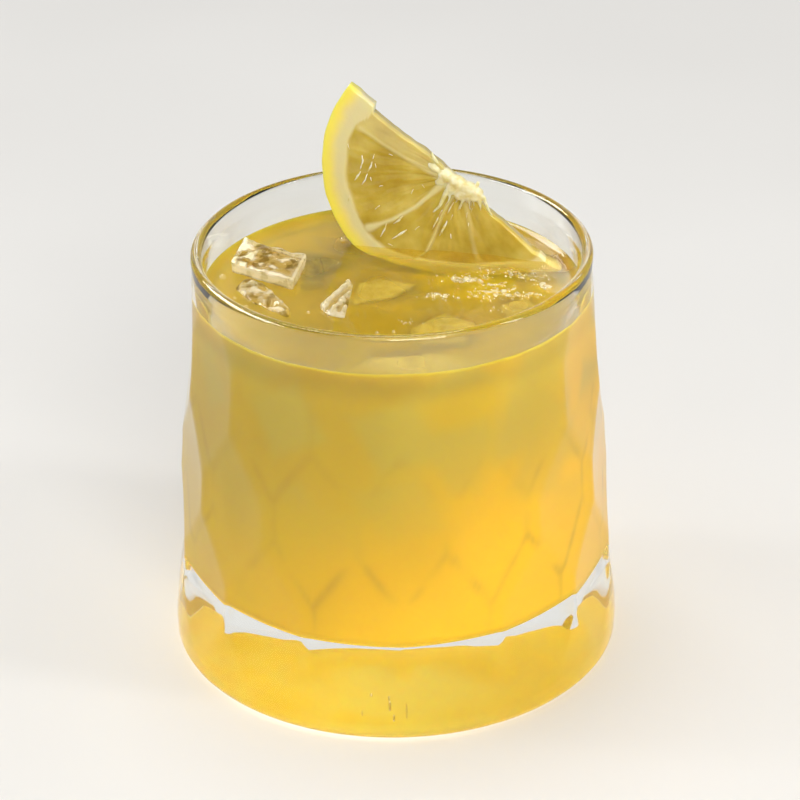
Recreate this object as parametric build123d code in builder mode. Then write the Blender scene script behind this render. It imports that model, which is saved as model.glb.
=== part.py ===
"""Glass of lemonade: a thick cut-pattern tumbler, the drink, a lemon half-wheel and floating ice.

Millimetres, +Z up. The origin is the centre of the glass's foot, on the surface it stands on.
Bearings are degrees round the glass from +X towards +Y, so its front, -Y, is at -90.
"""
from build123d import *
from math import cos, radians, sin
import os

# ---- glass: overall sizes ----
height = 87.3
foot_radius = 46.05
foot_round = 2.3
lip_radius = 40.0
lip_bead = 1.1  # radius of the rounded lip
neck_inset = 0.2  # the side is narrowest just under the lip
neck_depth = 4.0  # from the top of the lip down to there
side_swell = 0.6  # how far the side swells out of a straight cone

# ---- glass: cut pattern, three rows of tall hexagons, each row half a step round from the last ----
facets = 14
pattern_bearing = -88.0  # the middle row's first hexagon
foot_band = 5.3  # plain band below the pattern
rim_band = 5.2  # plain band above it
toe_length = 12.7  # the bottom row's hexagons end in long sloping toes
toe_to_middle = 4.0  # from the top of a toe to the deepest place of its hexagon
toe_swell = 0.2
cut_depth = 1.25  # at the middle of a hexagon
reach_per_row = 0.8216  # how far a hexagon reaches past its middle, in rows
cutter_spare = 1.12  # how far a cutter runs on past its hexagon, in reaches
cutter_width = 1.27  # width of a cutter, in hexagon widths
cutter_outside = 6.0  # how far a cutter stands outside the glass

# ---- glass: inside ----
floor_wall = 7.25  # wall at the floor, measured from the foot's radius
floor_height = 18.2
floor_round = 2.75

# ---- drink ----
free_depth = 10.0  # from the top of the lip down to the liquid
drink_gap = 0.1  # drink to glass, round the side
garnish_gap = 0.15  # drink to lemon and to ice

# ---- lemon half-wheel, standing on its rind in the drink ----
lemon_radius = 27.5
slice_thickness = 3.2
slice_round = 0.5  # rounded edge of the rind
slice_start = 142.2  # degrees round the fruit's middle, from level, where the slice begins
slice_sweep = 176.0
core_drop = 1.3  # the cut passes this far below the fruit's middle
slice_strike = -13.0  # the slice's turn from the x axis
slice_lean = 4.1
middle_rise = 17.8  # fruit's middle over the drink
slice_bearing = 24.1  # where the slice's lower corner comes up to the wall
slice_wall_gap = 1.8

# ---- ice that breaks the surface, each piece drawn from the place where the block meets the wall ----
ice_bearing = 146.4
block_corners = ((1.2, -0.5), (14.4, -8.9), (11.9, -20.6), (-1.2, -11.6))
block_top = 3.1  # over the drink
block_depth = 15.0
block_round = 0.8
shard_corners = ((0.0, -19.4), (2.4, -14.8), (5.6, -17.6), (11.6, -29.6), (11.2, -32.6), (4.0, -26.0))
shard_top = 1.4
shard_depth = 8.0
shard_round = 0.6
chip_corners = ((17.1, -28.4), (22.7, -17.2), (23.8, -18.6), (22.2, -33.4), (19.0, -32.0))
chip_top = 1.4
chip_depth = 7.0
chip_round = 0.4
ice_taper = 4.0  # degrees that the sides of the ice draw in downwards

drink_level = height - free_depth
neck_height = height - neck_depth
lip_bore = lip_radius - 2 * lip_bead
floor_bore = foot_radius - floor_wall
step = 360 / facets
first_row = foot_band + toe_length + toe_to_middle
row_pitch = (height - rim_band - first_row) / (2 + reach_per_row)
reach = row_pitch * reach_per_row


def side_radius(z):
    """Radius of the uncut side: a cone from foot to neck that swells most above mid height."""
    share = (z - foot_band) / (neck_height - foot_band)
    cone = foot_radius + (lip_radius - neck_inset - foot_radius) * share
    return cone + 4 * side_swell * share * (1 - share) * (0.5 + share)


def bore_radius(z):
    """Radius of the bore, a cone between the floor and the lip."""
    share = (z - floor_height) / (height - lip_bead - floor_height)
    return floor_bore + (lip_bore - floor_bore) * share


def cut_radius(z, middle):
    """Radius down the middle of a hexagon, scooped from tip to tip."""
    return side_radius(z) - cut_depth + cut_depth * ((z - middle) / reach) ** 2


def row_cutter(middle, toe_tip=None):
    """The tool that cuts one hexagon, reaching out along +X, with a sloping toe if it has a tip."""
    high = middle + cutter_spare * reach
    low = middle - (cutter_spare * reach if toe_tip is None else toe_to_middle)
    half_width = cutter_width * foot_radius * sin(radians(step / 2))
    outside = max(foot_radius, lip_radius) + cutter_outside
    with BuildPart() as cutter:
        with BuildSketch(Plane.XZ):
            with BuildLine():
                heights = (low, (low + high) / 2, high)
                scoop = ThreePointArc(*((cut_radius(z, middle), z) for z in heights))
                bottom = scoop @ 0
                if toe_tip is not None:
                    tip = Vector(side_radius(toe_tip), toe_tip)
                    ThreePointArc(tip, (tip + bottom) / 2 + Vector(toe_swell, 0), bottom)
                    bottom = tip
                Polyline(bottom, (outside, bottom.Y), (outside, high), scoop @ 1)
            make_face()
        extrude(amount=half_width, both=True)
    return cutter.part


def filling(top, gap):
    """A solid of the bore's shape up to a height, drawn in from the side by a gap."""
    with BuildPart() as fill:
        with BuildSketch(Plane.XZ):
            with BuildLine():
                floor_edge = (bore_radius(floor_height) - gap, floor_height)
                top_edge = (bore_radius(top) - gap, top)
                FilletPolyline((0, floor_height), floor_edge, top_edge, radius=floor_round)
                Polyline(top_edge, (0, top), (0, floor_height))
            make_face()
        revolve(axis=Axis.Z)
    return fill.part


def half_wheel(gap):
    """The lemon slice with a gap added all round; its place follows the wall that it leans on."""
    strike, lean, end = radians(slice_strike), radians(slice_lean), radians(slice_start + slice_sweep)
    along = Vector(cos(strike), sin(strike), 0)
    facing = Vector(sin(strike) * cos(lean), -cos(strike) * cos(lean), sin(lean))
    upward = facing.cross(along)
    corner = (along * cos(end) + upward * sin(end)) * lemon_radius - facing * slice_thickness
    wall = Vector(bore_radius(drink_level) - slice_wall_gap, 0, 0).rotate(Axis.Z, slice_bearing)
    middle = Vector(wall.X - corner.X, wall.Y - corner.Y, drink_level + middle_rise)
    front = Plane(middle, x_dir=along, z_dir=facing)
    with BuildPart() as wheel:
        with BuildSketch(front.offset(gap)):
            with BuildLine():
                rind = CenterArc((0, 0), lemon_radius, slice_start, slice_sweep)
                Polyline(rind @ 1, (0, -core_drop), rind @ 0)
            make_face()
            if gap:
                offset(amount=gap, kind=Kind.INTERSECTION)
        extrude(amount=-slice_thickness - 2 * gap)
        fillet(wheel.edges().filter_by(GeomType.CIRCLE), radius=slice_round)
    return wheel.part


def ice(corners, top, depth, rounding, gap):
    """A piece of ice with a flat melted top and sides that draw in downwards."""
    wall = Vector(bore_radius(drink_level), 0, 0).rotate(Axis.Z, ice_bearing)
    with BuildPart() as piece:
        with BuildSketch(Plane((wall.X, wall.Y, drink_level + top))):
            with BuildLine():
                Polyline(*corners, close=True)
            make_face()
            if gap:
                offset(amount=gap, kind=Kind.INTERSECTION)
        extrude(amount=-depth - gap, taper=ice_taper)
        fillet(piece.edges(), radius=rounding)
    return piece.part


bottom_cutter = row_cutter(first_row, foot_band)
middle_cutter = row_cutter(first_row + row_pitch)
top_cutter = row_cutter(first_row + 2 * row_pitch)
bore = filling(height + lip_bead, 0)
rows = ((bottom_cutter, step / 2), (middle_cutter, 0), (top_cutter, step / 2))
with BuildPart() as glass:
    with BuildSketch(Plane.XZ):
        with BuildLine():
            foot = JernArc((foot_radius - foot_round, 0), (1, 0), foot_round, 90)
            Line(foot @ 1, (foot_radius, foot_band))
            heights = [foot_band + (neck_height - foot_band) * share / 5 for share in range(6)]
            side = Spline(*((side_radius(z), z) for z in heights))
            neck = Line(side @ 1, (lip_radius, height - lip_bead))
            lip = ThreePointArc(neck @ 1, (lip_radius - lip_bead, height), (lip_bore, height - lip_bead))
            Polyline(lip @ 1, (0, height - lip_bead), (0, 0), foot @ 0)
        make_face()
    revolve(axis=Axis.Z)
    for cutter, turn in rows:
        with PolarLocations(0, facets, start_angle=pattern_bearing + turn):
            add(cutter, mode=Mode.SUBTRACT)
    add(bore, mode=Mode.SUBTRACT)

with BuildPart() as lemon_slice:
    add(half_wheel(0))

with BuildPart() as ice_block:
    add(ice(block_corners, block_top, block_depth, block_round, 0))

with BuildPart() as ice_shard:
    add(ice(shard_corners, shard_top, shard_depth, shard_round, 0))

with BuildPart() as ice_chip:
    add(ice(chip_corners, chip_top, chip_depth, chip_round, 0))

pockets = [
    half_wheel(garnish_gap),
    ice(block_corners, block_top, block_depth, block_round, garnish_gap),
    ice(shard_corners, shard_top, shard_depth, shard_round, garnish_gap),
    ice(chip_corners, chip_top, chip_depth, chip_round, garnish_gap),
]
with BuildPart() as lemonade:
    add(filling(drink_level, drink_gap))
    for pocket in pockets:
        add(pocket, mode=Mode.SUBTRACT)

os.makedirs("parts", exist_ok=True)
pieces = {
    "glass": glass,
    "lemonade": lemonade,
    "lemon_slice": lemon_slice,
    "ice_block": ice_block,
    "ice_shard": ice_shard,
    "ice_chip": ice_chip,
}
for label, piece in pieces.items():
    piece.part.label = label
    export_step(piece.part, f"parts/{label}.step")
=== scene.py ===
"""A tumbler of iced lemonade with a half slice of lemon leaning on its wall. Metres, Z up."""

import random
from math import atan2, cos, exp, hypot, pi, radians, sin

import bmesh
import bpy
from mathutils import Matrix, Vector, noise


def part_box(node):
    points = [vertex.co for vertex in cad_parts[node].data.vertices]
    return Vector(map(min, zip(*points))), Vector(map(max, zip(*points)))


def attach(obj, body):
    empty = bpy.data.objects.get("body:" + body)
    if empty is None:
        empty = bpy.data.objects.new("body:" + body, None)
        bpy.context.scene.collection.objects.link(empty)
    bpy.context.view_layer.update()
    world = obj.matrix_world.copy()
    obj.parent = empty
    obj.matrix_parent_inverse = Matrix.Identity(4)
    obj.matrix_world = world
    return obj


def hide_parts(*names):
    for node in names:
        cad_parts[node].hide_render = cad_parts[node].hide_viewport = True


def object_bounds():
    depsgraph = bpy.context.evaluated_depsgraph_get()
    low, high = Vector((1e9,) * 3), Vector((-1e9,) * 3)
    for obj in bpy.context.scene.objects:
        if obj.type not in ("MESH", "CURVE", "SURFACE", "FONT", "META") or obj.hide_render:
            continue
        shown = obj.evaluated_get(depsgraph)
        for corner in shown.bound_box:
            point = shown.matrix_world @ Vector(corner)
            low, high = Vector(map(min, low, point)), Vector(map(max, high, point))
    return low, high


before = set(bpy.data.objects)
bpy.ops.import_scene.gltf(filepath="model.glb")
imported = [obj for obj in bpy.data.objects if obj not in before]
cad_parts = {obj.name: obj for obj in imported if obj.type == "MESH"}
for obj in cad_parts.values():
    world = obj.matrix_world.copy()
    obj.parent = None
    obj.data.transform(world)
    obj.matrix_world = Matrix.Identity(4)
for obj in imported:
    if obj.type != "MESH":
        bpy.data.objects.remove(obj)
cad_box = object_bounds()


# ------------------------------------------------------------
# The tumbler. Heavy soda-lime glass, pressed in one piece in a mould, then fire-polished.
# Three staggered rows of shallow dished facets go round it; the foot and the lip are plain.
# ------------------------------------------------------------
MM = 0.001
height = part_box("glass")[1].z / MM
foot_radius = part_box("glass")[1].y / MM
foot_round = 2.3
foot_band = 5.3
neck_radius = 39.8
neck_height = 83.3
side_swell = 0.6
lip_radius = 40.0
lip_bead = 1.1
lip_turn = height - lip_bead
bore_at_lip = 37.8
bore_at_floor = 38.8
floor_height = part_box("lemonade")[0].z / MM
floor_round = 2.75
facet_count = 14
facet_step = 2 * pi / facet_count
facet_bearing = radians(-88)
cut_depth = 1.25
cut_reach = 17.5
first_row = 22.0
row_pitch = 21.3
toe_top = 18.0
toe_swell = 0.2
fire_polish = 0.16
punt_radius = 39.0
punt_rise = 2.7
spin_steps = 336
soda_lime_index = 1.52


def side_radius(z):
    """The plain side that the facets are cut into."""
    share = (z - foot_band) / (neck_height - foot_band)
    swell = 4 * side_swell * share * (1 - share) * (0.5 + share)
    return foot_radius + (neck_radius - foot_radius) * share + swell


def bore_radius(z):
    """The inner wall."""
    share = (lip_turn - z) / (lip_turn - floor_height)
    return bore_at_lip + (bore_at_floor - bore_at_lip) * share


def soft_min(a, b, width):
    """The smaller of two distances, with the corner between them rounded."""
    near = max(width - abs(a - b), 0) / width
    return min(a, b) - near * near * width / 4


def facet_radius(bearing, z):
    """The side with its three rows of facets, and how near the point is to a ridge between two."""
    found = side_radius(z)
    cuts = [found]
    for row in range(3):
        middle = first_row + row * row_pitch
        turn = bearing - facet_bearing - (0 if row == 1 else facet_step / 2)
        turn = (turn + facet_step / 2) % facet_step - facet_step / 2
        dish = side_radius(z) - cut_depth * (1 - ((z - middle) / cut_reach) ** 2)
        if row == 0 and z < toe_top:
            share = (z - foot_band) / (toe_top - foot_band)
            top = side_radius(toe_top) - cut_depth * (1 - ((toe_top - middle) / cut_reach) ** 2)
            start = side_radius(foot_band)
            dish = start + (top - start) * share + 4 * toe_swell * share * (1 - share)
        cuts.append(dish / cos(turn))
        found = soft_min(found, cuts[-1], fire_polish)
    cuts.sort()
    return found, cuts[1] - cuts[0]


def spun(outline, steps):
    """An outline of (radius, height) points spun once round the axis."""
    bm = bmesh.new()
    points = [bm.verts.new((r * MM, 0, z * MM)) for r, z in outline]
    lines = [bm.edges.new(pair) for pair in zip(points, points[1:])]
    bmesh.ops.spin(bm, geom=points + lines, cent=(0, 0, 0), axis=(0, 0, 1),
                   angle=2 * pi, steps=steps, use_merge=True)
    bmesh.ops.remove_doubles(bm, verts=bm.verts, dist=0.002 * MM)
    return bm


def arc(middle, radius, start, end, parts):
    """Points on an arc, angles in degrees."""
    angles = (radians(start + (end - start) * i / parts) for i in range(parts + 1))
    return [(middle[0] + radius * cos(a), middle[1] + radius * sin(a)) for a in angles]


def as_piece(bm, name, material, slot, *nodes):
    """Closes off a mesh as a smooth-shaded piece that rides with the glass."""
    bmesh.ops.recalc_face_normals(bm, faces=bm.faces)
    mesh = bpy.data.meshes.new(name)
    bm.to_mesh(mesh)
    bm.free()
    mesh.shade_smooth()
    mesh.materials.append(material)
    piece = bpy.data.objects.new(name, mesh)
    bpy.context.scene.collection.objects.link(piece)
    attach(piece, "root")
    if nodes:
        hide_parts(*nodes)
    return piece


def tone(code):
    """An sRGB hex colour as linear light."""
    parts = [int(code[i:i + 2], 16) / 255 for i in (1, 3, 5)]
    return (*(c / 12.92 if c <= 0.04045 else ((c + 0.055) / 1.055) ** 2.4 for c in parts), 1.0)


def add(tree, kind, sockets=(), stops=(), **settings):
    """Adds a node with its settings, sets or links its sockets, and gives a ramp its stops.

    A node given for a socket stands for its first output.
    """
    made = tree.nodes.new("ShaderNode" + kind)
    for key, value in settings.items():
        setattr(made, key, value)
    for key, value in dict(sockets).items():
        value = value.outputs[0] if isinstance(value, bpy.types.Node) else value
        if isinstance(value, bpy.types.NodeSocket):
            tree.links.new(value, made.inputs[key])
        else:
            made.inputs[key].default_value = value
    for i, (place, colour) in enumerate(stops):
        ramp = made.color_ramp.elements
        stop = ramp[i] if i < 2 else ramp.new(place)
        stop.position, stop.color = place, colour
    return made


def new_material(name):
    """An empty material, its node tree and its output."""
    material = bpy.data.materials.new(name)
    material.use_nodes = True
    material.node_tree.nodes.clear()
    return material, material.node_tree, add(material.node_tree, "OutputMaterial")


def open_to_lamps(tree, output, shader, share=1.0):
    """Lets the lamps' light through a clear surface, so that what is behind it is lit."""
    path = add(tree, "LightPath")
    open_part = add(tree, "Math", {0: path.outputs["Is Shadow Ray"], 1: share}, operation="MULTIPLY")
    clear = add(tree, "BsdfTransparent")
    both = add(tree, "MixShader", {0: open_part, 1: shader, 2: clear})
    tree.links.new(both.outputs[0], output.inputs["Surface"])


# Pressed soda-lime glass: water-clear, index 1.52, polished by flame so nearly mirror smooth,
# with the faint slow waviness that a mould leaves, one wave in about 9 mm.
pressed_glass, tree, output = new_material("pressed soda-lime glass")
coords = add(tree, "TexCoord")
wave = add(tree, "TexNoise", {"Vector": coords.outputs["Object"], "Scale": 1 / (9 * MM), "Detail": 1.0,
                              "Roughness": 0.4})
ripple = add(tree, "Bump", {"Height": wave, "Strength": 0.12, "Distance": 0.6 * MM})
body = add(tree, "BsdfPrincipled", {
    "Base Color": tone("#FCFEFD"), "Roughness": 0.0, "IOR": soda_lime_index,
    "Transmission Weight": 1.0, "Normal": ripple})
open_to_lamps(tree, output, body)

outline = [(punt_radius * i / 12, punt_rise * (1 - (i / 12) ** 2)) for i in range(13)]
outline += arc((foot_radius - foot_round, foot_round), foot_round, -90, 0, 8)
outline += [(foot_radius, foot_band - 1)]
side_rows = 88
outline += [(side_radius(z), z) for z in
            (foot_band + (neck_height - foot_band) * i / side_rows for i in range(side_rows + 1))]
outline += arc((lip_radius - lip_bead, lip_turn), lip_bead, 0, 180, 14)
bore_rows = 16
outline += [(bore_radius(z), z) for z in
            (lip_turn - (lip_turn - floor_height - floor_round) * i / bore_rows
             for i in range(1, bore_rows + 1))]
outline += arc((bore_radius(floor_height) - floor_round, floor_height + floor_round),
               floor_round, 0, -90, 7)[1:]
outline += [(24, floor_height), (12, floor_height), (0, floor_height)]
tumbler = spun(outline, spin_steps)
for v in tumbler.verts:
    z, r = v.co.z / MM, hypot(v.co.x, v.co.y) / MM
    if foot_band < z < neck_height and r > bore_radius(z) + 0.5:
        cut = facet_radius(atan2(v.co.y, v.co.x), z)[0] / r
        v.co.x, v.co.y = v.co.x * cut, v.co.y * cut
as_piece(tumbler, "tumbler", pressed_glass, "glass", "glass")


# ------------------------------------------------------------
# The lemonade. Cloudy lemon juice, syrup and water: it fills the bore and wets the wall, so its
# skin lies just inside the glass, with a meniscus at the wall and round the fruit.
# ------------------------------------------------------------
drink_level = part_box("lemonade")[1].z / MM
wetting = 0.06
wall_rise = 1.5
wall_rise_reach = 1.15
fruit_rise = 0.3
fruit_rise_reach = 0.9
top_rings = 66
ridge_shade_width = 0.22
raft_middle = (21, 1.0)

# The slice's own frame, used here for the meniscus and further on for the fruit.
slice_strike = radians(-13)
slice_lean = radians(4.1)
slice_radius = 27.5
slice_depth = 3.2
slice_start = 142.2
slice_sweep = 176.0
wet_left, wet_right = -21.3, 23.5
along = Vector((cos(slice_strike), sin(slice_strike), 0))
facing = Vector((sin(slice_strike) * cos(slice_lean), -cos(slice_strike) * cos(slice_lean),
                 sin(slice_lean)))
upward = facing.cross(along)
slice_end = radians(slice_start + slice_sweep)
back_corner = (along * cos(slice_end) + upward * sin(slice_end)) * slice_radius - facing * slice_depth
touch = Vector((cos(radians(24.1)), sin(radians(24.1)), 0)) * (bore_radius(drink_level) - 1.8)
slice_middle = Vector((touch.x - back_corner.x, touch.y - back_corner.y, drink_level + 17.8))


def fruit_gap(x, y):
    """How far a point on the drink's top is from the slice that stands in it."""
    reach = Vector((x, y, drink_level)) - slice_middle
    across, out = reach.dot(along), reach.dot(facing)
    beyond = max(wet_left - across, across - wet_right, 0)
    return hypot(max(out, -slice_depth - out, 0), beyond)


# Melt water lies over the sunken ice (x, y and reach of each piece), so the top is clearer there.
melt_spots = ((-16.0, 11.3, 8.0), (-2.5, 1.2, 9.0), (10.5, -16.5, 9.0), (3.6, -30.8, 8.0),
              (25.0, -7.4, 5.0))


def drifting(x, y, span, layer):
    """Smooth noise between -1 and 1 that changes over a length of about `span`."""
    return noise.noise(Vector((x / span, y / span, layer)))


def by_fruit(x, y, reach):
    """1 against the cut face of the slice, less further off and behind it."""
    behind = (Vector((x, y, drink_level)) - slice_middle).dot(facing) < -slice_depth
    return exp(-(fruit_gap(x, y) / reach) ** 2) * (0.15 if behind else 1)


def clearness(x, y):
    """How clear the drink's top is at a point: 1 against the fruit, 0.7 over sunken ice."""
    warp = 1 + 0.5 * drifting(x, y, 6, 11.0)
    over_ice = max(exp(-(hypot(x - a, y - b) * warp / reach) ** 4) for a, b, reach in melt_spots)
    return max(by_fruit(x, y, 5.5), 0.7 * over_ice)


outline = [(0, floor_height - wetting), (12, floor_height - wetting), (24, floor_height - wetting)]
outline += arc((bore_radius(floor_height) - floor_round, floor_height + floor_round),
               floor_round + wetting, -90, 0, 7)
wall_rows = 84
wall_top = drink_level + wall_rise
outline += [(bore_radius(z) + wetting, z) for z in
            (floor_height + floor_round + (wall_top - floor_height - floor_round) * i / wall_rows
             for i in range(1, wall_rows + 1))]
rim = bore_radius(wall_top) - 0.01
outline += [(rim * (1 - (i / top_rings) ** 1.25), drink_level) for i in range(top_rings + 1)]
drink = spun(outline, 288)
ridge_layer = drink.verts.layers.float.new("ridge")
clear_layer = drink.verts.layers.float.new("clear")
raft_layer = drink.verts.layers.float.new("raft")
for v in drink.verts:
    x, y, z = v.co / MM
    r = hypot(x, y)
    if foot_band < z < drink_level - 1 and r > 20:
        gap = facet_radius(atan2(y, x), z)[1]
        fade = min(1, (z - floor_height) / 3, (drink_level - z) / 8)
        v[ridge_layer] = exp(-(gap / ridge_shade_width) ** 2) * fade
    if abs(z - drink_level) < 0.001 and r <= rim + 0.001:
        swell = drifting(x, y, 9, 0.3) * 0.16 + drifting(x, y, 4, 7) * 0.05
        climb = wall_rise * exp(-(rim - r) / wall_rise_reach)
        climb = max(climb, fruit_rise * exp(-fruit_gap(x, y) / fruit_rise_reach))
        v[clear_layer] = clearness(x, y)
        ragged = drifting(x, y, 4, 20.0) * 0.7
        aside = x - raft_middle[0]
        off_raft = hypot(aside / 13, (y - raft_middle[1] + 0.3 * aside) / 6.5) + ragged
        v[raft_layer] = exp(-off_raft ** 4)
        v.co.z = (drink_level + climb + swell * min(1, (rim - r) / 4)) * MM

# Cloudy lemonade: pulp scatters the light just under the skin, so it glows from inside; the
# top few millimetres are clearer and show the ice in them. Duller and greener towards the top,
# a full gold at the bottom where the syrup settles; duller on the left is painted shade and
# fuller gold on the right is painted light.
cloudy, tree, output = new_material("cloudy lemonade")
coords = add(tree, "TexCoord")
in_mm = add(tree, "Mapping", {"Vector": coords.outputs["Object"], "Scale": (1000, 1000, 1000)})
drift = add(tree, "TexNoise", {"Vector": in_mm, "Scale": 1 / 26, "Detail": 2.0, "Roughness": 0.5})
place = add(tree, "SeparateXYZ", {0: in_mm})
sway = add(tree, "Math", {0: drift, 1: 26.0, 2: place.outputs["Z"]}, operation="MULTIPLY_ADD")
# Painted shade and light: the colour is shifted duller towards the left and fuller gold towards the
# right.
height_with_left_shade = add(tree, "Math", {0: place.outputs["X"], 1: -0.78, 2: sway}, operation="MULTIPLY_ADD")
depth = add(tree, "MapRange", {"Value": height_with_left_shade, "From Min": drink_level + 14,
                               "From Max": floor_height + 14})
juice = add(tree, "ValToRGB", {"Fac": depth}, stops=(
    (0.0, tone("#BA9C1E")), (1.0, tone("#EFBF04")), (0.35, tone("#C8A716")), (0.7, tone("#DEB108"))))
# Painted shade of sunken ice seen through the cloud: soft squarish greyer patches, one in about 17 mm.
turned = add(tree, "Mapping", {"Vector": in_mm, "Rotation": (0.5, 0.3, 0.4),
                               "Scale": (1 / 17, 1 / 17, 1 / 17)})
cubes = add(tree, "TexVoronoi", {"Vector": turned, "Scale": 1.0, "Smoothness": 0.35},
            feature="SMOOTH_F1", distance="CHEBYCHEV")
ice_shade = add(tree, "MapRange", {"Value": cubes.outputs["Distance"], "From Min": 0.24, "From Max": 0.48,
                               "To Min": 0.55, "To Max": 0.0}, interpolation_type="SMOOTHSTEP")
shallow = add(tree, "MapRange", {"Value": place.outputs["Z"], "From Min": 36.0, "From Max": 62.0})
ice_shade_share = add(tree, "Math", {0: ice_shade, 1: shallow}, operation="MULTIPLY")
colour = add(tree, "Mix", {0: ice_shade_share, 6: juice, 7: tone("#B5A540")}, data_type="RGBA")
# The underside: paler in the middle, a deep gold ring where the syrup has settled outside it. Both tones
# are also painted bright, as painted light where little light reaches the underside.
flat = add(tree, "Mapping", {"Vector": in_mm, "Scale": (1, 1, 0)})
spread = add(tree, "VectorMath", {0: flat}, operation="LENGTH")
ring = add(tree, "MapRange", {"Value": spread.outputs["Value"], "From Min": 7.0, "From Max": 19.0},
           interpolation_type="SMOOTHSTEP")
settled = add(tree, "TexNoise", {"Vector": in_mm, "Scale": 1 / 11, "Detail": 1.0, "Distortion": 0.5})
dregs = add(tree, "MapRange", {"Value": settled, "From Min": 0.4, "From Max": 0.58, "To Min": -0.25,
                               "To Max": 0.25})
where = add(tree, "Math", {0: ring, 1: dregs}, operation="ADD", use_clamp=True)
under_tone = add(tree, "Mix", {0: where, 6: tone("#F6D844"), 7: tone("#F6CC10")}, data_type="RGBA")
under = add(tree, "MapRange", {"Value": place.outputs["Z"], "From Min": floor_height + 1.6,
                               "From Max": floor_height + 0.4})
bottomed = add(tree, "Mix", {0: under, 6: colour.outputs[2], 7: under_tone.outputs[2]}, data_type="RGBA")
# A painted glow: the underside faintly gives off light of its own, standing in for light that has
# scattered down through the whole drink.
painted_glow = add(tree, "Math", {0: under, 1: 0.12}, operation="MULTIPLY")
# The facets gather the light into their middles and leave the drink behind their ridges darker.
ridge = add(tree, "Attribute", attribute_name="ridge")
broken = add(tree, "TexNoise", {"Vector": in_mm, "Scale": 1 / 9, "Detail": 1.0})
some = add(tree, "MapRange", {"Value": broken, "From Min": 0.42, "From Max": 0.66, "To Max": 0.42})
shaded = add(tree, "Math", {0: ridge.outputs["Fac"], 1: some}, operation="MULTIPLY")
lit_skin = add(tree, "Mix", {0: shaded, 6: bottomed.outputs[2], 7: tone("#A58320")}, data_type="RGBA")
clearer = add(tree, "MapRange", {"Value": place.outputs["Z"], "From Min": 71.0, "From Max": 76.5,
                                 "To Max": 0.62}, interpolation_type="SMOOTHSTEP", name="clearer")
over = add(tree, "Attribute", attribute_name="clear")
window = add(tree, "Math", {0: over.outputs["Fac"], 1: 0.3, 2: clearer}, operation="MULTIPLY_ADD")
liquid = add(tree, "BsdfPrincipled", {
    "Base Color": lit_skin.outputs[2], "Roughness": 0.03, "IOR": 1.34,
    "Transmission Weight": window, "Subsurface Weight": 0.6,
    "Emission Color": under_tone.outputs[2], "Emission Strength": painted_glow,
    "Subsurface Radius": (1.0, 0.72, 0.22), "Subsurface Scale": 4 * MM}, name="liquid")
open_to_lamps(tree, output, liquid, window)
# The same drink where it wets the wall: glass and lemonade bend light almost alike, so there is
# next to no gloss between them.
wetted = cloudy.copy()
wetted.name = "cloudy lemonade against glass"
wetted.node_tree.nodes["liquid"].inputs["Specular IOR Level"].default_value = 0.1
wetted.node_tree.nodes["clearer"].inputs["To Max"].default_value = 0.3
# Its open top is a paler skin, thinner by the fruit and over sunken ice, with a raft of froth.
surface_tone = add(tree, "ValToRGB", {"Fac": drift}, stops=(
    (0.3, tone("#D2B43A")), (0.7, tone("#E2C74A"))))
thinned = add(tree, "Mix", {0: over.outputs["Fac"], 6: surface_tone, 7: tone("#F8E382")},
              data_type="RGBA")
raft = add(tree, "Attribute", attribute_name="raft")
foamy = add(tree, "Mix", {0: raft.outputs["Fac"], 6: thinned.outputs[2], 7: tone("#FFDC3C")},
            data_type="RGBA")
tree.links.new(foamy.outputs[2], liquid.inputs["Base Color"])
drink_piece = as_piece(drink, "lemonade_drink", wetted, "lemonade", "lemonade")
drink_piece.data.materials.append(cloudy)
for face in drink_piece.data.polygons:
    face.material_index = int(face.center.z > (drink_level - 0.6) * MM and face.normal.z > 0.1)

# The pulp cloud under the clearer top: what the eye takes for the bottom of the surface layer.
cloud_base, cloud_top, cloud_rings = 60, 74.6, 36
cloud_outline = [(0, cloud_base), (30, cloud_base), (37.2, 61), (37.6, 67), (37.5, 71), (37.0, 73.4),
                 (35.0, cloud_top)]
cloud_outline += [(35.0 * (1 - i / cloud_rings), cloud_top + 0.3 * sin(pi / 2 * i / cloud_rings))
                  for i in range(1, cloud_rings + 1)]
cloud = spun(cloud_outline, 120)
for v in cloud.verts:
    x, y, z = v.co / MM
    lift = drifting(x, y, 13, 2.0) * 1.3 + drifting(x, y, 5, 5.0) * 0.4
    lift -= 6.5 * by_fruit(x, y, 5.0) + 1.2 * clearness(x, y)
    v.co.z += lift * MM * min(1, max(0, (z - cloud_base) / 13))
pulp, tree, output = new_material("suspended lemon pulp")
coords = add(tree, "TexCoord")
wisps = add(tree, "TexNoise", {"Vector": coords.outputs["Object"], "Scale": 1 / (12 * MM),
                               "Detail": 4.0, "Distortion": 0.8})
shade = add(tree, "ValToRGB", {"Fac": wisps}, stops=(
    (0.3, tone("#8F7A22")), (0.7, tone("#B89C34")), (0.5, tone("#A2892A"))))
flesh = add(tree, "BsdfPrincipled", {
    "Base Color": shade, "Roughness": 0.5, "Specular IOR Level": 0.0,
    "Subsurface Weight": 0.3, "Subsurface Radius": (1.0, 0.85, 0.4), "Subsurface Scale": 2 * MM})
tree.links.new(flesh.outputs[0], output.inputs["Surface"])
as_piece(cloud, "lemonade_pulp", pulp, "lemonade")


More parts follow.
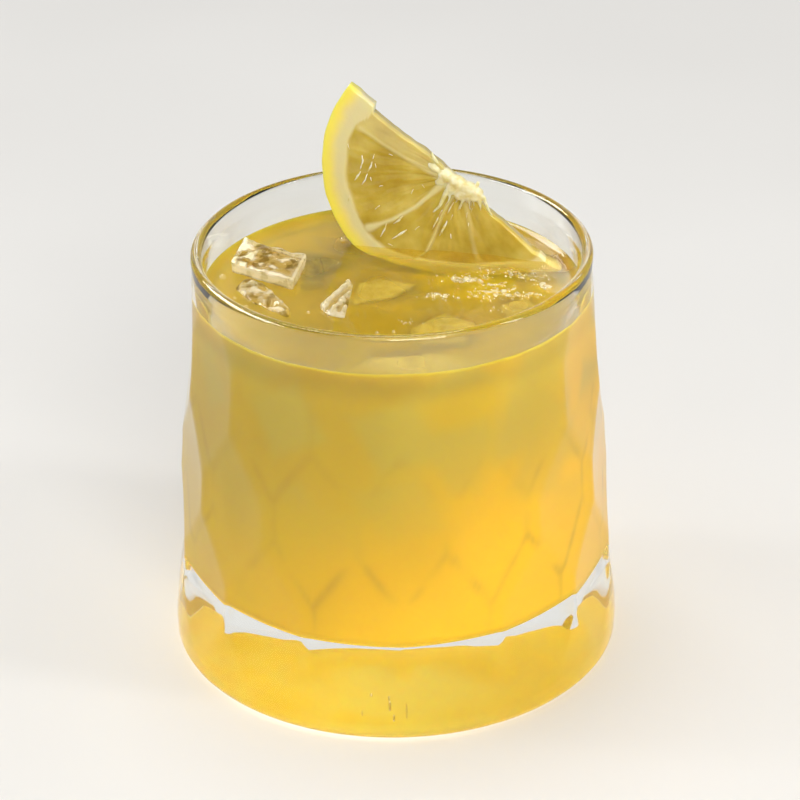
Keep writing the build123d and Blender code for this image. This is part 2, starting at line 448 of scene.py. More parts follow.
# ------------------------------------------------------------
# The lemon slice. Half of a wheel cut 3 mm thick, stood in the drink against the wall: waxy
# yellow zest, spongy pith, and wet segments of juice sacs between membranes that meet at the core.
# ------------------------------------------------------------
radial_rows = 72
turn_rows = 300
pith_inner = 22.3
zest_inner = 25.0
membranes = (
    (0.6, 0.28, ((-19.2, 8.0), (-14.6, 4.9), (-9.2, 1.9), (-3.0, -0.9))),
    (1.0, 0.12, ((-17.6, -13.6), (-12.6, -11.3), (-7.6, -8.0), (-3.9, -4.4), (-2.2, -2.6))),
    (0.35, 0.2, ((5.6, -21.6), (3.9, -14.2), (2.6, -8.0), (1.8, -4.6))),
)
slit = ((0.2, -5.0), (-2.2, -9.2), (-3.7, -13.8), (-5.3, -17.6), (-8.0, -21.5))
slit_drop = 0.75
cut_sag = 1.35
end_growth = 0.12
core_pull = 1.2
rind_round = 0.5


def line_gap(x, y, line):
    """Distance from a point to a line of points, and which side of it the point is on."""
    best, side = 1e9, 1
    for (ax, ay), (bx, by) in zip(line, line[1:]):
        dx, dy = bx - ax, by - ay
        share = min(1, max(0, ((x - ax) * dx + (y - ay) * dy) / (dx * dx + dy * dy)))
        gap = hypot(x - ax - dx * share, y - ay - dy * share)
        if gap < best:
            best, side = gap, (1 if dx * (y - ay) - dy * (x - ax) > 0 else -1)
    return best, side


def eased(value, low, high):
    """Smooth step from 0 at low to 1 at high."""
    share = min(1, max(0, (value - low) / (high - low)))
    return share * share * (3 - 2 * share)


section = [(slice_radius * i / radial_rows, 0) for i in range(radial_rows)]
section = [p for p in section if p[0] < slice_radius - rind_round]
front_count = len(section)
section += arc((slice_radius - rind_round, -rind_round), rind_round, 90, 0, 5)
section += arc((slice_radius - rind_round, -slice_depth + rind_round), rind_round, 0, -90, 5)
section += [(r, -slice_depth) for r, _ in reversed(section[:front_count])]
wheel = bmesh.new()
start = radians(slice_start)
points = [wheel.verts.new((r * cos(start) * MM, r * sin(start) * MM, z * MM)) for r, z in section]
lines = [wheel.edges.new(pair) for pair in zip(points, points[1:])]
turned_on = bmesh.ops.spin(wheel, geom=points + lines, cent=(0, 0, 0), axis=(0, 0, 1),
                           angle=radians(slice_sweep), steps=turn_rows, use_merge=False)
last = [g for g in turned_on["geom_last"] if isinstance(g, bmesh.types.BMVert)]
last.sort(key=lambda v: min(range(len(section)), key=lambda i: hypot(
    hypot(v.co.x, v.co.y) / MM - section[i][0], v.co.z / MM - section[i][1])))
for chain in (points, last):
    for i in range(len(chain) // 2 - 1):
        j = len(chain) - 1 - i
        wheel.faces.new((chain[i], chain[i + 1], chain[j - 1], chain[j]))
bmesh.ops.remove_doubles(wheel, verts=wheel.verts, dist=0.002 * MM)
zest_layer = wheel.verts.layers.float.new("zest")
pith_layer = wheel.verts.layers.float.new("pith")
for v in wheel.verts:
    x, y, z = v.co / MM
    r, turn = hypot(x, y), atan2(y, x) / pi * 180 % 360
    if r > 0.05:
        # the knife's edge: flesh sags behind the firmer peel at both ends of the cut
        share = (turn - slice_start) / slice_sweep
        rough = (noise.noise(Vector((r / 2.2, 0, z / 3))) + 0.6) * 0.22 * eased(r, 0, 4)
        sag = cut_sag * (1 - eased(r, 20.3, 21.0)) * eased(r, 0, 16) + rough
        sag_end = (1 - 0.5 * eased(r, 9, 18)) * (1 - eased(r, 21.5, 22.5)) * eased(r, 0, 4) + 1.5 * rough
        shift = sag * (1 - share) ** 6 - sag_end * share ** 6
        turn += shift / r * 180 / pi
        grown = 1 + end_growth * eased(turn, 300, 317) * eased(r, 14, 27)
        grown += 0.006 * drifting(turn, 0, 9, 4) * eased(turn, 142, 152)
        x, y = r * grown * cos(radians(turn)), r * grown * sin(radians(turn))
    y -= core_pull * exp(-(r / 4.5) ** 2)
    wobble = drifting(x, y, 6, 1.0) * 0.7
    peel_line = zest_inner + 0.3 + 4.2 * eased(turn, 303, 315)
    inner = pith_inner + wobble - 2.0 * (1 - eased(turn, 147, 158))
    inner += 0.8 * eased(turn, 195, 217) * (1 - eased(turn, 217, 240))
    pith = eased(r, inner - 0.45, inner + 0.35)
    skin = 0
    for strength, half, line in membranes:
        width = half + 0.5 * (1 - eased(r, 2, 9)) + 0.7 * eased(r, 19, 22.5)
        skin = max(skin, strength * (1 - eased(line_gap(x, y, line)[0], width * 0.4, width + 0.6)))
    slit_gap, slit_side = line_gap(x, y, slit)
    edge = 1 - eased(slit_gap, 0.1, 0.55)
    core = 1 - eased(hypot((x - 0.6) / 1.6, (y + 1.6) / 1.2), 1.6, 2.8)
    strip_gap, strip_side = line_gap(x, y, membranes[0][2])
    strip = 0.34 * eased(strip_gap, 0, 0.8) if strip_side > 0 and turn < 190 else 0
    tissue = max(pith, skin * 0.9, edge * 0.5, core, strip)
    v[pith_layer] = tissue
    v[zest_layer] = eased(r + 0.6 * drifting(x, y, 3, 9), peel_line - 1.7, peel_line + 1.5)
    side = 1 if z > -slice_depth / 2 else -1
    if r < slice_radius - 0.6:
        turn_lines = Vector((r / 7.5, radians(turn) * 7.5, 3.0 * side))
        sacs = noise.noise(turn_lines) * 0.22 + noise.noise(turn_lines * 2.3) * 0.09
        sacs += drifting(x, y, 7, side * 2.0) * 0.3
        relief = (1 - tissue) * (sacs - 0.24) + edge * 0.12 + skin * 0.12
        if slit_side > 0 and side > 0 and r < pith_inner + 0.5 and turn > 236:
            relief -= (slit_drop * eased(slit_gap, 0.0, 0.25) * (1 - eased(turn, 292, 312))
                       * eased(r, 3, 6))
        z += side * relief * (0.5 if side < 0 else 1)
    v.co = (x * MM, y * MM, z * MM)
stance = Matrix((along, upward, facing)).transposed().to_4x4()
place_slice = Matrix.Translation(slice_middle * MM) @ stance
bmesh.ops.transform(wheel, matrix=place_slice, verts=wheel.verts)
for v in wheel.verts:
    # the end of the rind is pressed flat against the wall
    x, y, z = v.co / MM
    press = min(1, (bore_radius(z) - 0.15) / max(hypot(x, y), 1))
    v.co.x, v.co.y = v.co.x * press, v.co.y * press

# Fresh cut lemon: waxed bright zest, dull cream pith, and wet olive-gold flesh that light
# enters; juice sacs 1 to 2 mm wide lie along the radius, and their wet skins glint.
cut_lemon, tree, output = new_material("fresh cut lemon")
coords = add(tree, "TexCoord")
peel_share = add(tree, "Attribute", attribute_name="zest")
white_share = add(tree, "Attribute", attribute_name="pith")
blush = add(tree, "TexNoise", {"Vector": coords.outputs["Object"], "Scale": 1 / (6 * MM), "Detail": 3.0})
juicy = add(tree, "ValToRGB", {"Fac": blush}, stops=(
    (0.3, tone("#BFA136")), (0.72, tone("#DFC964")), (0.5, tone("#CFB54A"))))
with_pith = add(tree, "Mix", {0: white_share.outputs["Fac"], 6: juicy, 7: tone("#E6DAA0")},
                data_type="RGBA")
with_zest = add(tree, "Mix", {0: peel_share.outputs["Fac"], 6: with_pith.outputs[2],
                              7: tone("#FFE95C")}, data_type="RGBA")
dull = add(tree, "MapRange", {"Value": white_share.outputs["Fac"], "To Min": 0.12, "To Max": 0.42})
grain = add(tree, "TexNoise", {"Vector": coords.outputs["Object"], "Scale": 1 / (0.9 * MM),
                               "Detail": 2.0})
pores = add(tree, "Bump", {"Height": grain, "Strength": 0.25, "Distance": 0.2 * MM})
fruit = add(tree, "BsdfPrincipled", {
    "Base Color": with_zest.outputs[2], "Roughness": dull, "IOR": 1.38,
    "Subsurface Weight": 0.7, "Subsurface Radius": (1.0, 0.75, 0.3), "Subsurface Scale": 2 * MM,
    "Coat Weight": 0.5, "Coat Roughness": 0.06, "Normal": pores})
tree.links.new(fruit.outputs[0], output.inputs["Surface"])
as_piece(wheel, "lemon_half_slice", cut_lemon, "lemon", "lemon_slice")


# ------------------------------------------------------------
# The core of the slice. The white pith at the fruit's middle, torn by the knife, so that it
# stands up from the cut in lumps and a thin spike, with wet fibres running down the slit.
# ------------------------------------------------------------
def strand(bm, path, radii, sides=8):
    """A closed tapering strand along a path of points, in the slice's own frame."""
    rings = []
    for i, (point, radius) in enumerate(zip(path, radii)):
        before, after = path[max(i - 1, 0)], path[min(i + 1, len(path) - 1)]
        heading = (Vector(after) - Vector(before)).normalized()
        turn = heading.to_track_quat("Z", "Y").to_matrix().to_4x4()
        made = bmesh.ops.create_circle(bm, cap_ends=i in (0, len(path) - 1), segments=sides,
                                       radius=radius * MM,
                                       matrix=Matrix.Translation(Vector(point) * MM) @ turn)
        ring = made["verts"]
        edges = (e for v in ring for e in v.link_edges if all(w in ring for w in e.verts))
        rings.append(list(dict.fromkeys(edges)))
    for one, other in zip(rings, rings[1:]):
        bmesh.ops.bridge_loops(bm, edges=one + other)


def lump(bm, middle, size, turn):
    """A rounded lump in the slice's own frame."""
    matrix = (Matrix.Translation(Vector(middle) * MM) @ Matrix.Rotation(turn, 4, "Z")
              @ Matrix.Diagonal((*(s * MM for s in size), 1)))
    bmesh.ops.create_icosphere(bm, subdivisions=2, radius=1.0, matrix=matrix)


# Vector noise takes its offsets from this seed, which is otherwise new in each run.
noise.seed_set(1)
heart = bmesh.new()
core_scale = 1.12
for middle, size, turn in (
        ((-3.8, 0.5, -0.9), (2.0, 1.0, 1.2), -0.6), ((-1.6, -0.9, -0.8), (1.9, 1.3, 1.4), -0.5),
        ((0.8, -2.2, -0.8), (2.0, 1.4, 1.4), -0.4), ((3.0, -3.3, -0.9), (2.0, 1.3, 1.4), -0.3),
        ((4.7, -4.2, -1.2), (1.2, 1.1, 1.2), -0.2), ((5.2, -5.4, -1.4), (0.8, 1.1, 1.0), 0.1),
        ((0.0, -3.3, -0.4), (1.5, 1.4, 0.8), 0.1), ((2.4, -4.3, -0.5), (1.5, 1.3, 0.8), 0.1),
        ((-2.6, -2.2, -0.5), (1.2, 1.2, 0.7), -0.3), ((-5.8, 1.6, -1.3), (1.7, 0.5, 0.8), -0.6),
        ((4.1, -5.0, -0.7), (0.9, 1.1, 0.7), 0.3), ((1.0, -4.8, -0.4), (0.8, 1.1, 0.6), 0.0)):
    lump(heart, middle, [core_scale * side for side in size], turn)
strand(heart, ((-3.6, 1.0, -0.8), (-4.0, 2.2, -0.6), (-4.4, 3.3, -0.5), (-4.6, 4.0, -0.4)),
       (0.8, 0.42, 0.26, 0.16))
strand(heart, ((4.3, -4.0, -0.9), (4.6, -3.0, -0.8), (4.9, -2.3, -0.7), (5.2, -1.7, -0.7)),
       (0.8, 0.5, 0.42, 0.4))
draw = random.Random(5)
for i in range(13):
    root = -1.6 + 0.62 * i + draw.uniform(-0.3, 0.3)
    length, splay = draw.uniform(1.6, 4.6) * (1.5 if i < 4 else 1.0), 0.11 * (i - 6)
    low = -3.9 - 0.25 * abs(i - 6) + draw.uniform(-0.4, 0.4)
    deep = -0.1 if root < -0.2 else -0.55
    bend = draw.uniform(-0.35, 0.35)
    strand(heart, ((root, low + 0.8, deep - 0.2),
                   (root + splay * length * 0.4 + bend, low - length * 0.4, deep),
                   (root + splay * length - 0.12 * length, low - length, deep - 0.35)),
           (draw.uniform(0.35, 0.6), draw.uniform(0.2, 0.36), 0.12), sides=6)
for v in heart.verts:
    v.co += noise.noise_vector(v.co / (1.3 * MM)) * 0.2 * MM
bmesh.ops.transform(heart, matrix=place_slice, verts=heart.verts)

# Torn pith: spongy, near white with a warm cast, wet in its folds.
torn_pith, tree, output = new_material("torn lemon pith")
coords = add(tree, "TexCoord")
fibre = add(tree, "TexNoise", {"Vector": coords.outputs["Object"], "Scale": 1 / (1.2 * MM),
                               "Detail": 3.0})
cream = add(tree, "ValToRGB", {"Fac": fibre}, stops=((0.3, tone("#E4D58A")), (0.65, tone("#FAF3CC"))))
folds = add(tree, "Bump", {"Height": fibre, "Strength": 0.4, "Distance": 0.3 * MM})
sponge = add(tree, "BsdfPrincipled", {
    "Base Color": cream, "Roughness": 0.35, "Subsurface Weight": 0.6,
    "Subsurface Radius": (1.0, 0.85, 0.5), "Subsurface Scale": 1.2 * MM,
    "Coat Weight": 0.4, "Coat Roughness": 0.1, "Normal": folds})
tree.links.new(sponge.outputs[0], output.inputs["Surface"])
core_piece = as_piece(heart, "lemon_core", torn_pith, "lemon")
knit = core_piece.modifiers.new("knit", "REMESH")
knit.mode, knit.voxel_size, knit.use_smooth_shade = "VOXEL", 0.22 * MM, True


# ------------------------------------------------------------
# Juice sacs that the knife opened or left proud of the cut: wet slivers 1 to 3 mm long that lie
# along the radius on the segments, thickest at the rind and along the slit.
# ------------------------------------------------------------
proud = bmesh.new()
draw = random.Random(3)
for path in (
        ((-22.0, 4.4), (-21.6, 3.2)), ((-19.0, 2.2), (-18.8, 1.2), (-19.0, 0.2), (-19.4, -1.0)),
        ((-19.3, -1.4), (-19.9, -2.4), (-20.5, -3.4)), ((-16.4, 2.6), (-16.7, 1.6)),
        ((-16.9, 0.9), (-17.1, -0.1), (-17.7, -1.2)), ((-17.9, -1.8), (-18.3, -3.0), (-19.0, -4.2)),
        ((-16.2, 0.6), (-16.0, -0.2)), ((-17.2, -2.4), (-17.0, -3.2)), ((-8.2, -4.2), (-8.7, -5.3)),
        ((-6.4, -3.1), (-6.0, -3.7)), ((-15.3, -8.4), (-16.2, -9.3)),
        ((-13.8, -12.2), (-14.2, -13.6), (-15.1, -15.2)),
        ((-10.4, -10.2), (-11.2, -11.3), (-12.3, -12.1)),
        ((-9.6, -13.2), (-10.8, -14.2), (-12.6, -15.4)), ((-13.4, -16.6), (-12.4, -17.0)),
        ((-3.0, -9.8), (-3.5, -11.0), (-4.2, -12.6)), ((-1.3, -10.8), (-1.9, -12.2), (-2.9, -14.2)),
        ((-2.2, -12.8), (-2.4, -13.8)), ((-0.6, -13.6), (-0.4, -14.6)),
        ((0.0, -6.6), (-0.7, -7.8), (-1.2, -9.2)), ((1.5, -6.6), (1.2, -8.0)),
        ((3.6, -5.8), (3.6, -7.2)), ((3.9, -7.6), (3.6, -8.5)), ((2.9, -8.6), (2.7, -9.7)),
        ((3.2, -10.8), (3.2, -11.8)), ((-0.2, -9.4), (-0.6, -10.4)), ((-2.2, -8.2), (-2.8, -9.4)),
        ((7.4, -8.0), (7.8, -8.6)), ((9.8, -10.3), (10.3, -10.9)), ((-21.6, -6.8), (-21.9, -8.0)),
        ((-12.6, 2.6), (-13.3, 2.9)), ((-14.6, -4.0), (-15.4, -4.3)), ((-7.0, -12.2), (-7.8, -13.0))):
    lowered = slit_drop if path[0][0] > -4.5 and line_gap(*path[0], slit)[1] > 0 else 0
    wide = draw.uniform(0.13, 0.2)
    widths = [wide * (0.45 if i in (0, len(path) - 1) else draw.uniform(0.8, 1.5))
              for i in range(len(path))]
    strand(proud, [(x, y, draw.uniform(-0.12, 0.02) - lowered) for x, y in path], widths)
bmesh.ops.subdivide_edges(proud, edges=proud.edges, cuts=1, use_grid_fill=True)
for v in proud.verts:
    v.co += noise.noise_vector(v.co / (0.6 * MM)) * 0.12 * MM
bmesh.ops.transform(proud, matrix=place_slice, verts=proud.verts)

# The skin of a juice sac: clear, pale and very wet, so that it carries the glints of the cut.
sac_skin, tree, output = new_material("wet juice sac")
coords = add(tree, "TexCoord")
juice_noise = add(tree, "TexNoise", {"Vector": coords.outputs["Object"], "Scale": 1 / (1.0 * MM),
                                     "Detail": 1.0})
pale_juice = add(tree, "ValToRGB", {"Fac": juice_noise}, stops=(
    (0.35, tone("#EBD783")), (0.6, tone("#FFF9DC"))))
gloss = add(tree, "BsdfPrincipled", {
    "Base Color": pale_juice, "Roughness": 0.08, "IOR": 1.4,
    "Subsurface Weight": 0.4, "Subsurface Radius": (1.0, 0.8, 0.4), "Subsurface Scale": 1 * MM,
    "Coat Weight": 1.0, "Coat Roughness": 0.03})
tree.links.new(gloss.outputs[0], output.inputs["Surface"])
as_piece(proud, "lemon_juice_sacs", sac_skin, "lemon")


# ------------------------------------------------------------
# The ice that floats. Cubes of clear ice broken and half melted: a block at the left wall, a
# rough shard in front of it and a ribbed chip. Their tops stand just clear of the drink.
# ------------------------------------------------------------
ice_anchor = (-31.59, 20.99)
block_rise, shard_rise = 3.1, 1.4
block_corners = ((1.2, -0.5), (14.4, -8.9), (11.9, -20.6), (-1.2, -11.6))
shard_corners = ((0, -19.4), (2.4, -14.8), (5.6, -17.6), (11.6, -29.6), (11.2, -32.6), (4.0, -26.0))
chip_corners = ((17.1, -28.4), (22.7, -17.2), (23.8, -18.6), (22.2, -33.4), (19.0, -32.0))


def frozen(corners, top, depth, rounding, cuts):
    """A block of ice below its top outline, its sides drawn in downwards, fine enough to carve."""
    bm = bmesh.new()
    ring = [bm.verts.new(((ice_anchor[0] + x) * MM, (ice_anchor[1] + y) * MM, (drink_level + top) * MM))
            for x, y in corners]
    cap = bm.faces.new(ring)
    grown = bmesh.ops.extrude_face_region(bm, geom=[cap])["geom"]
    lower = [g for g in grown if isinstance(g, bmesh.types.BMVert)]
    bmesh.ops.translate(bm, verts=lower, vec=(0, 0, -depth * MM))
    middle = sum((v.co for v in lower), Vector()) / len(lower)
    bmesh.ops.scale(bm, verts=lower, vec=(0.84, 0.84, 1), space=Matrix.Translation(-middle))
    bmesh.ops.bevel(bm, geom=bm.edges[:], offset=rounding * MM, affect="EDGES", segments=3,
                    profile=0.5, material=-1)
    bmesh.ops.triangulate(bm, faces=bm.faces)
    for _ in range(cuts):
        long_edges = [e for e in bm.edges if e.calc_length() > 1.1 * MM]
        bmesh.ops.subdivide_edges(bm, edges=long_edges, cuts=1, use_grid_fill=True)
        bmesh.ops.triangulate(bm, faces=bm.faces)
    return bm


# Clear ice: index 1.31, wet and smooth where it has melted, white where it is crazed or
# crushed, which is along its edges and in its cracks.
clear_ice, tree, output = new_material("clear melting ice")
coords = add(tree, "TexCoord")
crazed = add(tree, "Attribute", attribute_name="frost")
melt = add(tree, "TexNoise", {"Vector": coords.outputs["Object"], "Scale": 1 / (2.2 * MM), "Detail": 3.0})
wet = add(tree, "Bump", {"Height": melt, "Strength": 0.35, "Distance": 0.5 * MM})
see_through = add(tree, "MapRange", {"Value": crazed.outputs["Fac"], "To Min": 0.96, "To Max": 0.2})
rough = add(tree, "MapRange", {"Value": crazed.outputs["Fac"], "To Min": 0.03, "To Max": 0.35})
# Painted shade and painted highlight: dark gold in the melted dips, near white on the melted crests.
painted_dip_shade = add(tree, "ValToRGB", {"Fac": melt}, stops=(
    (0.41, tone("#83722F")), (0.6, tone("#FFFDF4")), (0.47, tone("#EDE5C6"))), name="painted_dip_shade")
frosted = add(tree, "Mix", {0: crazed.outputs["Fac"], 6: painted_dip_shade, 7: tone("#F6EDC6")}, data_type="RGBA")
ice = add(tree, "BsdfPrincipled", {
    "Base Color": frosted.outputs[2], "Roughness": rough, "IOR": 1.31,
    "Transmission Weight": see_through, "Normal": wet})
open_to_lamps(tree, output, ice, see_through)

block = frozen(block_corners, block_rise, 15, 0.8, 4)
frost_layer = block.verts.layers.float.new("frost")
block_top = drink_level + block_rise
for v in block.verts:
    x, y, z = v.co / MM
    carve = drifting(x, y, 3.2, z / 3.2) * 0.8 + noise.noise(Vector((x, y, z)) / 1.3) * 0.26
    up = eased(z, block_top - 1.2, block_top - 0.2)
    spot = drifting(x, y, 2.1, 3.0)
    local = (x - ice_anchor[0], y - ice_anchor[1])
    inset = line_gap(*local, block_corners + block_corners[:1])[0]
    left_end = 1 - eased(local[0] + 0.25 * local[1], 0.5, 3.4)
    rim_frost = 0.6 * (1 - eased(inset, 0.3, 1.1)) * eased(local[0], 2.0, 9.0)
    on_top = max(rim_frost, eased(spot, 0.18, 0.36) * 0.7, left_end * eased(spot, -0.1, 0.2))
    on_sides = 0.72 * eased(z, block_top - 3.6, block_top - 2.4) * (1 - up)
    v[frost_layer] = min(0.9, max(up * on_top, on_sides))
    carve += 0.5 * left_end * noise.noise(Vector((x, y, 0)) / 0.9)
    v.co.z += (carve - 0.45) * MM * up
    v.co.x += carve * 0.35 * MM
as_piece(block, "ice_block_floating", clear_ice, "ice", "ice_block")

shard = frozen(shard_corners, shard_rise, 8, 0.8, 4)
frost_layer = shard.verts.layers.float.new("frost")
shard_top = drink_level + shard_rise
for v in shard.verts:
    x, y, z = v.co / MM
    lumps = noise.cell(Vector((x / 3.4, y / 3.4, 0))) * 0.3 + drifting(x, y, 1.9, 4.0) * 0.9
    up = eased(z, shard_top - 1.2, shard_top - 0.2)
    v[frost_layer] = min(1, max(0, 0.22 + lumps * 0.8))
    v.co.z += (lumps - 0.7) * MM * up
as_piece(shard, "ice_shard_floating", clear_ice, "ice", "ice_shard")

chip = frozen(chip_corners, shard_rise, 7, 0.6, 4)
frost_layer = chip.verts.layers.float.new("frost")
for v in chip.verts:
    x, y, z = v.co / MM
    rib = sin((x * 0.9 - y * 0.42) * 2.6 + drifting(x, y, 2, 0) * 2.2)
    rim_part = 1 - eased(y, -10.6, -9.2)
    up = eased(z, shard_top - 1.2, shard_top - 0.2)
    v[frost_layer] = min(1, max(0.08, 0.3 + 0.5 * rib * (1 - rim_part) + 0.3 * rim_part))
    v.co.z += (rib * 0.5 * (1 - rim_part) - 0.5 - 0.3 * rim_part) * MM * up
as_piece(chip, "ice_chip_floating", clear_ice, "ice", "ice_chip")


# ------------------------------------------------------------
# The ice that has sunk. A cube with a broken tail and slabs just under the top, and a lump against
# the front wall; the cloudy drink over them greys them and softens their edges.
# ------------------------------------------------------------
murky_share = 0.12
sunken_ice, tree, output = new_material("ice seen through lemonade")
coords = add(tree, "TexCoord")
veins = add(tree, "TexNoise", {"Vector": coords.outputs["Object"], "Scale": 1 / (4 * MM), "Detail": 4.0,
                               "Distortion": 1.2})
murk = add(tree, "ValToRGB", {"Fac": veins}, stops=(
    (0.3, tone("#A8954A")), (0.7, tone("#CEC078"))), name="murk")
skin = add(tree, "BsdfPrincipled", {
    "Base Color": murk, "Roughness": 0.12, "IOR": 1.31, "Transmission Weight": murky_share,
    "Subsurface Weight": 0.4, "Subsurface Radius": (1.0, 0.9, 0.6), "Subsurface Scale": 3 * MM})
open_to_lamps(tree, output, skin, murky_share)
# The clearer cube and its tail are painted darker: painted shade of the drink behind them seen through.
dark_ice = sunken_ice.copy()
dark_ice.name = "clear ice cube seen through lemonade"
for stop, code in zip(dark_ice.node_tree.nodes["murk"].color_ramp.elements, ("#54491F", "#94854A")):
    stop.color = tone(code)

for name, corners, top, depth, material in (
        ("ice_cube_sunk", ((13.7, -2.4), (17.2, -2.4), (18.0, -10.4), (16.7, -16.8), (13.1, -17.7)),
         -0.2, 10, dark_ice),
        ("ice_tail_sunk", ((16.6, -3.0), (22.2, -6.2), (17.8, -10.6)), -0.5, 5, dark_ice),
        ("ice_slab_middle", ((24.4, -15.4), (29.6, -14.0), (36.6, -16.0), (31.6, -22.1), (23.9, -25.8)),
         -1.2, 7, sunken_ice),
        ("ice_slab_front", ((35.0, -36.2), (42.1, -30.1), (48.6, -35.2), (46.0, -43.0), (35.0, -43.0)),
         -0.9, 8, sunken_ice),
        ("ice_lump_front", ((21.4, -53.6), (28.0, -48.0), (41.0, -46.4), (49.0, -50.5), (43.0, -55.5),
                            (31.0, -57.8)), -0.8, 6, sunken_ice),
        ("ice_plate_right", ((52.4, -27.8), (58.2, -23.4), (60.6, -28.0), (53.8, -32.9)), -0.4, 3,
         sunken_ice)):
    lump_bm = frozen(corners, top, depth, 1.0, 3)
    for v in lump_bm.verts:
        x, y, z = v.co / MM
        worn = noise.noise_vector(Vector((x, y, z)) / 5.0) * MM
        v.co += Vector((worn.x, worn.y, worn.z * 0.25))
    as_piece(lump_bm, name, material, "ice")


# ------------------------------------------------------------
# Crushed ice and bubbles. Splinters from the same cubes have gathered by the fruit at the right,
# among froth; single bubbles sit at the ice, along the front wall and in the foot of the glass.
# ------------------------------------------------------------
splinters = bmesh.new()
draw = random.Random(11)
for middle, spread, count, size in (
        ((14.6, 4.4), (2.4, 0.6), 18, 0.62), ((19.5, 2.0), (3.0, 1.0), 26, 0.52),
        ((21.0, -1.2), (2.8, 1.8), 22, 0.48), ((26.5, -2.6), (3.4, 0.8), 18, 0.45),
        ((19.0, 7.6), (5.5, 2.4), 30, 0.36), ((30.2, 0.6), (1.4, 2.6), 14, 0.5),
        ((9.5, -2.4), (2.6, 1.2), 14, 0.42), ((25.5, 6.5), (3.2, 2.4), 26, 0.36)):
    for _ in range(count):
        x = middle[0] + draw.gauss(0, 0.55) * spread[0]
        y = middle[1] + draw.gauss(0, 0.55) * spread[1]
        s = size * draw.uniform(0.5, 1.35)
        if hypot(x, y) > 36 or fruit_gap(x, y) < 0.8:
            continue
        matrix = (Matrix.Translation(Vector((x, y, drink_level - 0.1 + draw.uniform(-0.3, 0.25))) * MM)
                  @ Matrix.Rotation(draw.uniform(0, 6.3), 4, "Z")
                  @ Matrix.Rotation(draw.uniform(-0.5, 0.5), 4, "X")
                  @ Matrix.Diagonal((s * draw.uniform(1.0, 2.2) * MM, s * MM, s * 0.6 * MM, 1)))
        made = bmesh.ops.create_icosphere(splinters, subdivisions=1, radius=1.0, matrix=matrix)["verts"]
        for v in made:
            v.co += Vector([draw.uniform(-0.22, 0.22) for _ in range(3)]) * s * MM
# Splinters are too thin to hold the painted shade in a block's melted dips.
crushed_ice = clear_ice.copy()
crushed_ice.name = "crushed ice"
crushed_ice.node_tree.nodes["painted_dip_shade"].color_ramp.elements[0].color = tone("#D8C478")
splinter_piece = as_piece(splinters, "ice_splinters", crushed_ice, "ice")
for face in splinter_piece.data.polygons:
    face.use_smooth = False
frost = splinter_piece.data.attributes.new("frost", "FLOAT", "POINT")
for item in frost.data:
    item.value = draw.choice((0.05, 0.2, 0.45, 0.8))

# A bubble is a film round air: a bright ring and a glint.
film_share = 0.9
film, tree, output = new_material("bubble film")
coords = add(tree, "TexCoord")
thick = add(tree, "TexNoise", {"Vector": coords.outputs["Object"], "Scale": 1 / (0.8 * MM)})
tint = add(tree, "ValToRGB", {"Fac": thick}, stops=((0.3, tone("#FFF8DC")), (0.7, tone("#FFFFFF"))))
ring = add(tree, "BsdfPrincipled", {
    "Base Color": tint, "Roughness": 0.02, "IOR": 1.36, "Transmission Weight": film_share})
open_to_lamps(tree, output, ring, film_share)
froth = bmesh.new()
draw = random.Random(23)
wall_line, open_reach = 36.9, 37.2
spots = [(-10.1, 24.0, 0.6), (-34.2, 6.6, 0.75), (-29.0, -6.6, 0.45), (-31.4, -2.8, 0.4),
         (-12.6, -9.6, 0.4), (-16.6, -9.4, 0.4), (-3.0, -18.6, 0.4), (0.2, -18.2, 0.35),
         (-24.0, -12.6, 0.35), (-20.4, -14.0, 0.3)]
for middle, spread, count in (((9.0, -2.6), (3.2, 1.4), 26), ((19.0, -2.4), (3.4, 2.6), 60),
                              ((18.5, 6.6), (5.5, 2.4), 60), ((26.5, -3.0), (4.0, 1.0), 36),
                              ((3.0, -14.0), (2.6, 1.6), 9), ((30.0, 2.0), (1.8, 3.5), 28),
                              ((21.0, -9.0), (2.4, 1.6), 8)):
    for _ in range(count):
        spots.append((middle[0] + draw.gauss(0, 0.6) * spread[0],
                      middle[1] + draw.gauss(0, 0.6) * spread[1], draw.uniform(0.1, 0.3)))
for i in range(26):
    bearing = radians(draw.uniform(-150, -35))
    spots.append((wall_line * cos(bearing), wall_line * sin(bearing), draw.uniform(0.18, 0.36)))
for x, y, r in spots:
    if hypot(x, y) < open_reach and fruit_gap(x, y) > r:
        bubble_spot = Matrix.Translation(Vector((x, y, drink_level + 0.25 * r)) * MM)
        bmesh.ops.create_icosphere(froth, subdivisions=2, radius=r * MM, matrix=bubble_spot)
as_piece(froth, "bubbles_on_top", film, "lemonade")


# ------------------------------------------------------------
# Seeds in the foot. A few bubbles of air caught in the glass when it was pressed and drawn out
# upright, the longest about 4 mm.
# ------------------------------------------------------------
seeds = bmesh.new()
seed_line = 42.6
for bearing, middle, length, wide in (
        (-92.0, 9.0, 1.2, 0.16), (-91.8, 7.2, 2.4, 0.24), (-90.8, 4.4, 1.4, 0.2),
        (-87.5, 6.0, 3.6, 0.16), (-99.0, 5.2, 1.2, 0.14), (-96.5, 9.6, 0.7, 0.2)):
    spot = Vector((seed_line * cos(radians(bearing)), seed_line * sin(radians(bearing)), middle)) * MM
    bmesh.ops.create_icosphere(seeds, subdivisions=3, radius=1.0, matrix=(
        Matrix.Translation(spot) @ Matrix.Diagonal((wide * MM, wide * MM, length / 2 * MM, 1))))
trapped_air, tree, output = new_material("air caught in glass")
air = add(tree, "BsdfGlass", {"Color": tone("#FFFFFF"), "Roughness": 0.0, "IOR": 1 / soda_lime_index})
open_to_lamps(tree, output, air)
as_piece(seeds, "seeds_in_foot", trapped_air, "glass")


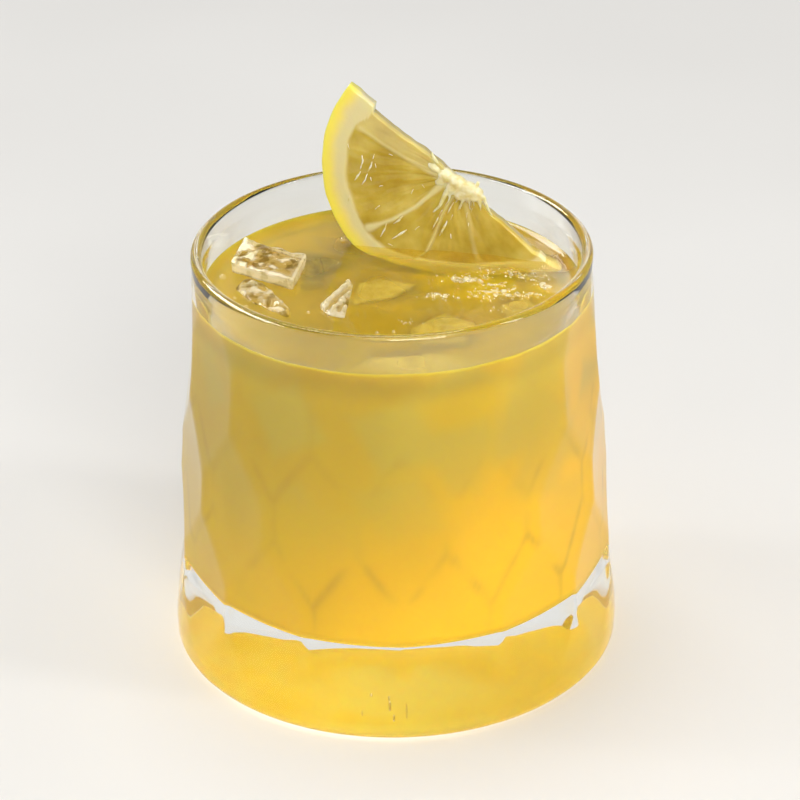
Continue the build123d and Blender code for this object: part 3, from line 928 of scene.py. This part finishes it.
# ------------------------------------------------------------
# The setting: a flat pale table in a pale surround, soft boxes left, right, above and in front,
# a white card at the left, and the camera.
# ------------------------------------------------------------
table = bmesh.new()
bmesh.ops.create_grid(table, x_segments=8, y_segments=8, size=1.6,
                      matrix=Matrix.Translation((0, 0, -0.0002)))
mesh = bpy.data.meshes.new("pale_table")
table.to_mesh(mesh)
table.free()
floor = bpy.data.objects.new("pale_table", mesh)
bpy.context.scene.collection.objects.link(floor)
paper, tree, output = new_material("pale matt paper")
coords = add(tree, "TexCoord")
mottle = add(tree, "TexNoise", {"Vector": coords.outputs["Object"], "Scale": 6.0, "Detail": 2.0})
sheet_tone = add(tree, "ValToRGB", {"Fac": mottle}, stops=(
    (0.3, tone("#E2E0DC")), (0.7, tone("#E8E6E2"))))
matt = add(tree, "BsdfPrincipled", {"Base Color": sheet_tone, "Roughness": 0.9})
tree.links.new(matt.outputs[0], output.inputs["Surface"])
mesh.materials.append(paper)

world = bpy.data.worlds.new("studio")
bpy.context.scene.world = world
world.use_nodes = True
tree = world.node_tree
tree.nodes.clear()
path = add(tree, "LightPath")
seen = add(tree, "Math", {0: path.outputs["Is Camera Ray"], 1: path.outputs["Is Transmission Ray"]},
           operation="MAXIMUM")
dim = add(tree, "Background", {"Color": tone("#FFFFFF"), "Strength": 0.42})
pale = add(tree, "Background", {"Color": tone("#E6E4E0"), "Strength": 1.0})
both = add(tree, "MixShader", {0: seen, 1: dim, 2: pale})
add(tree, "OutputWorld", {"Surface": both})

lamp_aim = Vector((0, 0, 0.05))


def soft_box(name, place, size, power):
    """A rectangular soft box, hidden from the camera."""
    lamp = bpy.data.lights.new(name, "AREA")
    lamp.shape, lamp.size, lamp.size_y, lamp.energy = "RECTANGLE", size[0], size[1], power
    box = bpy.data.objects.new(name, lamp)
    bpy.context.scene.collection.objects.link(box)
    box.location = place
    box.rotation_euler = (Vector(place) - lamp_aim).to_track_quat("Z", "Y").to_euler()
    box.visible_camera = False
    box.visible_transmission = False


soft_box("left_box", (-0.72, 0.10, 0.60), (0.12, 0.55), 0.9)
soft_box("top_box", (-0.10, 0.30, 1.20), (0.8, 0.6), 5.0)
soft_box("right_box", (0.75, -0.25, 0.50), (0.12, 0.6), 1.8)
soft_box("front_box", (0.25, -1.00, 0.66), (0.6, 0.45), 7.0)
# A white card at the left is seen only in wet and polished surfaces.
soft_box("left_card", (-0.62, 0.18, 0.58), (0.9, 0.3), 13.0)
bpy.data.objects["left_card"].visible_diffuse = False

low, high = cad_box
aim = (low + high) / 2 + Vector((1.3, 0, -3.4)) * MM
tilt, roll, distance = radians(28.286), radians(-0.643), 640 * MM
toward = Vector((0, cos(tilt), -sin(tilt)))
right, up = Vector((1, 0, 0)), Vector((0, sin(tilt), cos(tilt)))
right, up = right * cos(roll) + up * sin(roll), up * cos(roll) - right * sin(roll)
lens = bpy.data.cameras.new("camera")
lens.lens, lens.sensor_width, lens.clip_start = 141.39, 36.0, 0.01
camera = bpy.data.objects.new("camera", lens)
bpy.context.scene.collection.objects.link(camera)
camera.matrix_world = (Matrix.Translation(aim - toward * distance)
                       @ Matrix((right, up, -toward)).transposed().to_4x4())
bpy.context.scene.camera = camera
bpy.context.scene.view_settings.view_transform = "Standard"
